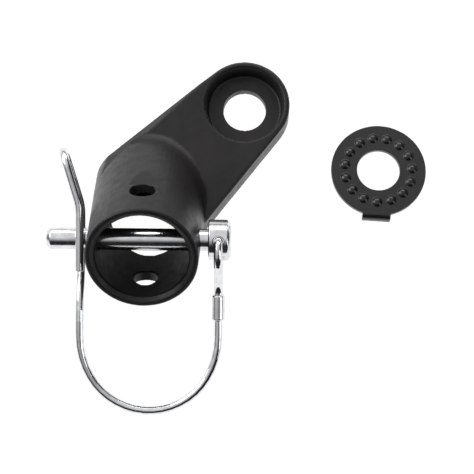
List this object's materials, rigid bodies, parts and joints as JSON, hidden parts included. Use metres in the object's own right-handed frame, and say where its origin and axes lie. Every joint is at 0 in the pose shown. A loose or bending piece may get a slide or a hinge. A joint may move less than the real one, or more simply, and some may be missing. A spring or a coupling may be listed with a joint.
{
  "type": "trailer hitch coupler",
  "caption": "Angled steel drawbar coupler for a bicycle trailer: flat arm with an axle hole, slanted socket tube, lock pin with wire bail, and a loose dimpled tab washer.",
  "frame": {"origin": "centre of the axle hole on the arm's back face, which lies on the surface", "axes": "+Z is the arm's front normal and the axle hole's axis; X runs along the lock pin, its head at +X; +Y points up the arm, away from the socket's mouth"},
  "size_m": [0.1117, 0.1071, 0.0373],
  "materials": {
    "black_paint": "semi-gloss black paint over cast or forged steel",
    "bright_zinc": "bright zinc plate on turned steel",
    "spring_wire": "bright plated spring wire",
    "black_steel": "black oxide over pressed steel, slightly glossy"
  },
  "bodies": {
    "coupler": {"mounting_arm": "black_paint", "socket_tube": "black_paint", "weld_fillet": "black_paint"},
    "lock_pin": {"pin_shank": "bright_zinc"},
    "lock_pin_head": {"pin_head": "bright_zinc"},
    "bail": {"wire_bail": "spring_wire", "crimp_ferrule": "bright_zinc"},
    "washer": {"tab_washer": "black_steel"}
  },
  "joints": [
    {"name": "pin_slide", "type": "slide", "parent": "coupler", "child": "lock_pin", "axis": [1, 0, 0], "range_m": [-0.0019, 0]},
    {"name": "pin_turn", "type": "hinge", "parent": "lock_pin", "child": "lock_pin_head", "pos_m": [-0.02825, -0.04485, 0.01835], "axis": [-1, 0, 0], "range_deg": [0, 200]},
    {"name": "bail_open", "type": "hinge", "parent": "lock_pin_head", "child": "bail", "pos_m": [-0.00676, -0.04485, 0.01835], "axis": [0, -0.316, 0.9488], "range_deg": [0, 150]},
    {"name": "washer_lift", "type": "slide", "parent": "coupler", "child": "washer", "axis": [0, 0, 1], "range_m": [0, 0.006]}
  ]
}
